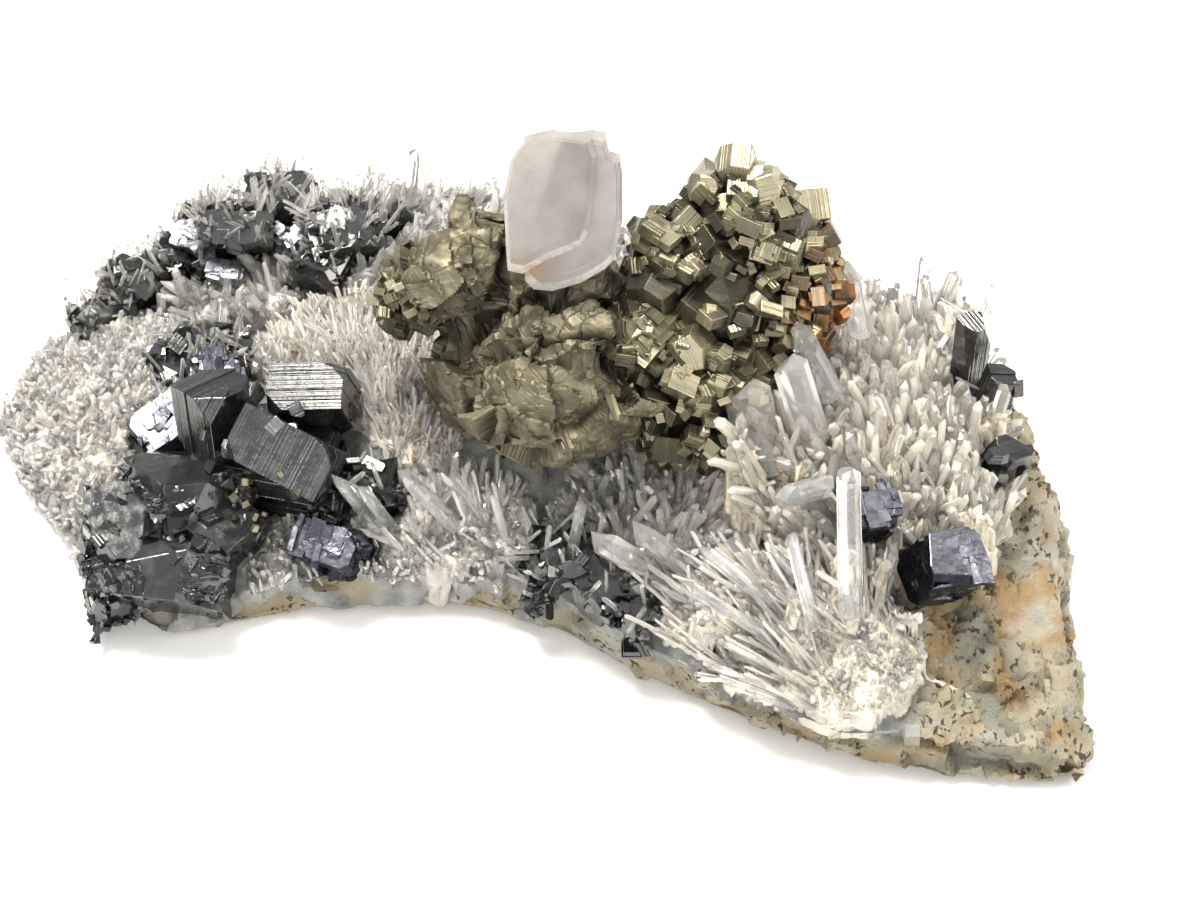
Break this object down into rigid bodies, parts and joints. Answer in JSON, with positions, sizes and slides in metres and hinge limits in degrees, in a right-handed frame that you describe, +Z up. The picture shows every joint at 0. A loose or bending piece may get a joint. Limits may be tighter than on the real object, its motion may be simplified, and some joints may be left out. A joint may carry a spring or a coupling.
{
  "type": "mineral specimen",
  "caption": "Cabinet specimen of pyrite, black sphalerite and lead-grey galena on a crescent slab of rock covered with needle quartz, with a pale calcite tablet.",
  "frame": {"origin": "in the flat resting face under the slab, near the middle of its length and depth", "axes": "+X along the slab's length, +Y from the concave front edge to the back, +Z up"},
  "size_m": [0.1965, 0.1293, 0.0852],
  "materials": {
    "matrix": "rough",
    "quartz": "crystalline",
    "sphalerite": "bright",
    "galena": "bright",
    "pyrite": "satin",
    "calcite": "frosted"
  },
  "bodies": {
    "root": {"matrix_rock": "matrix", "calcite_tablets": "calcite", "pyrite_cube_cluster": "pyrite", "pyrite_stepped_mass": "pyrite", "sphalerite_front_left": "sphalerite", "sphalerite_prisms_left": "sphalerite", "sphalerite_stack_left": "sphalerite", "sphalerite_back_left": "sphalerite", "sphalerite_back": "sphalerite", "sphalerite_left_edge": "sphalerite", "sphalerite_front": "sphalerite", "sphalerite_middle": "sphalerite", "sphalerite_right_tip": "sphalerite", "sphalerite_right": "sphalerite", "galena_front_left": "galena", "galena_right": "galena", "galena_right_back": "galena", "galena_left": "galena", "galena_left_back": "galena", "quartz_druse_right": "quartz", "quartz_druse_right_front": "quartz", "quartz_druse_centre": "quartz", "quartz_druse_front": "quartz", "quartz_druse_middle": "quartz", "quartz_druse_left": "quartz", "quartz_druse_back": "quartz", "quartz_druse_back_right": "quartz"}
  },
  "joints": []
}
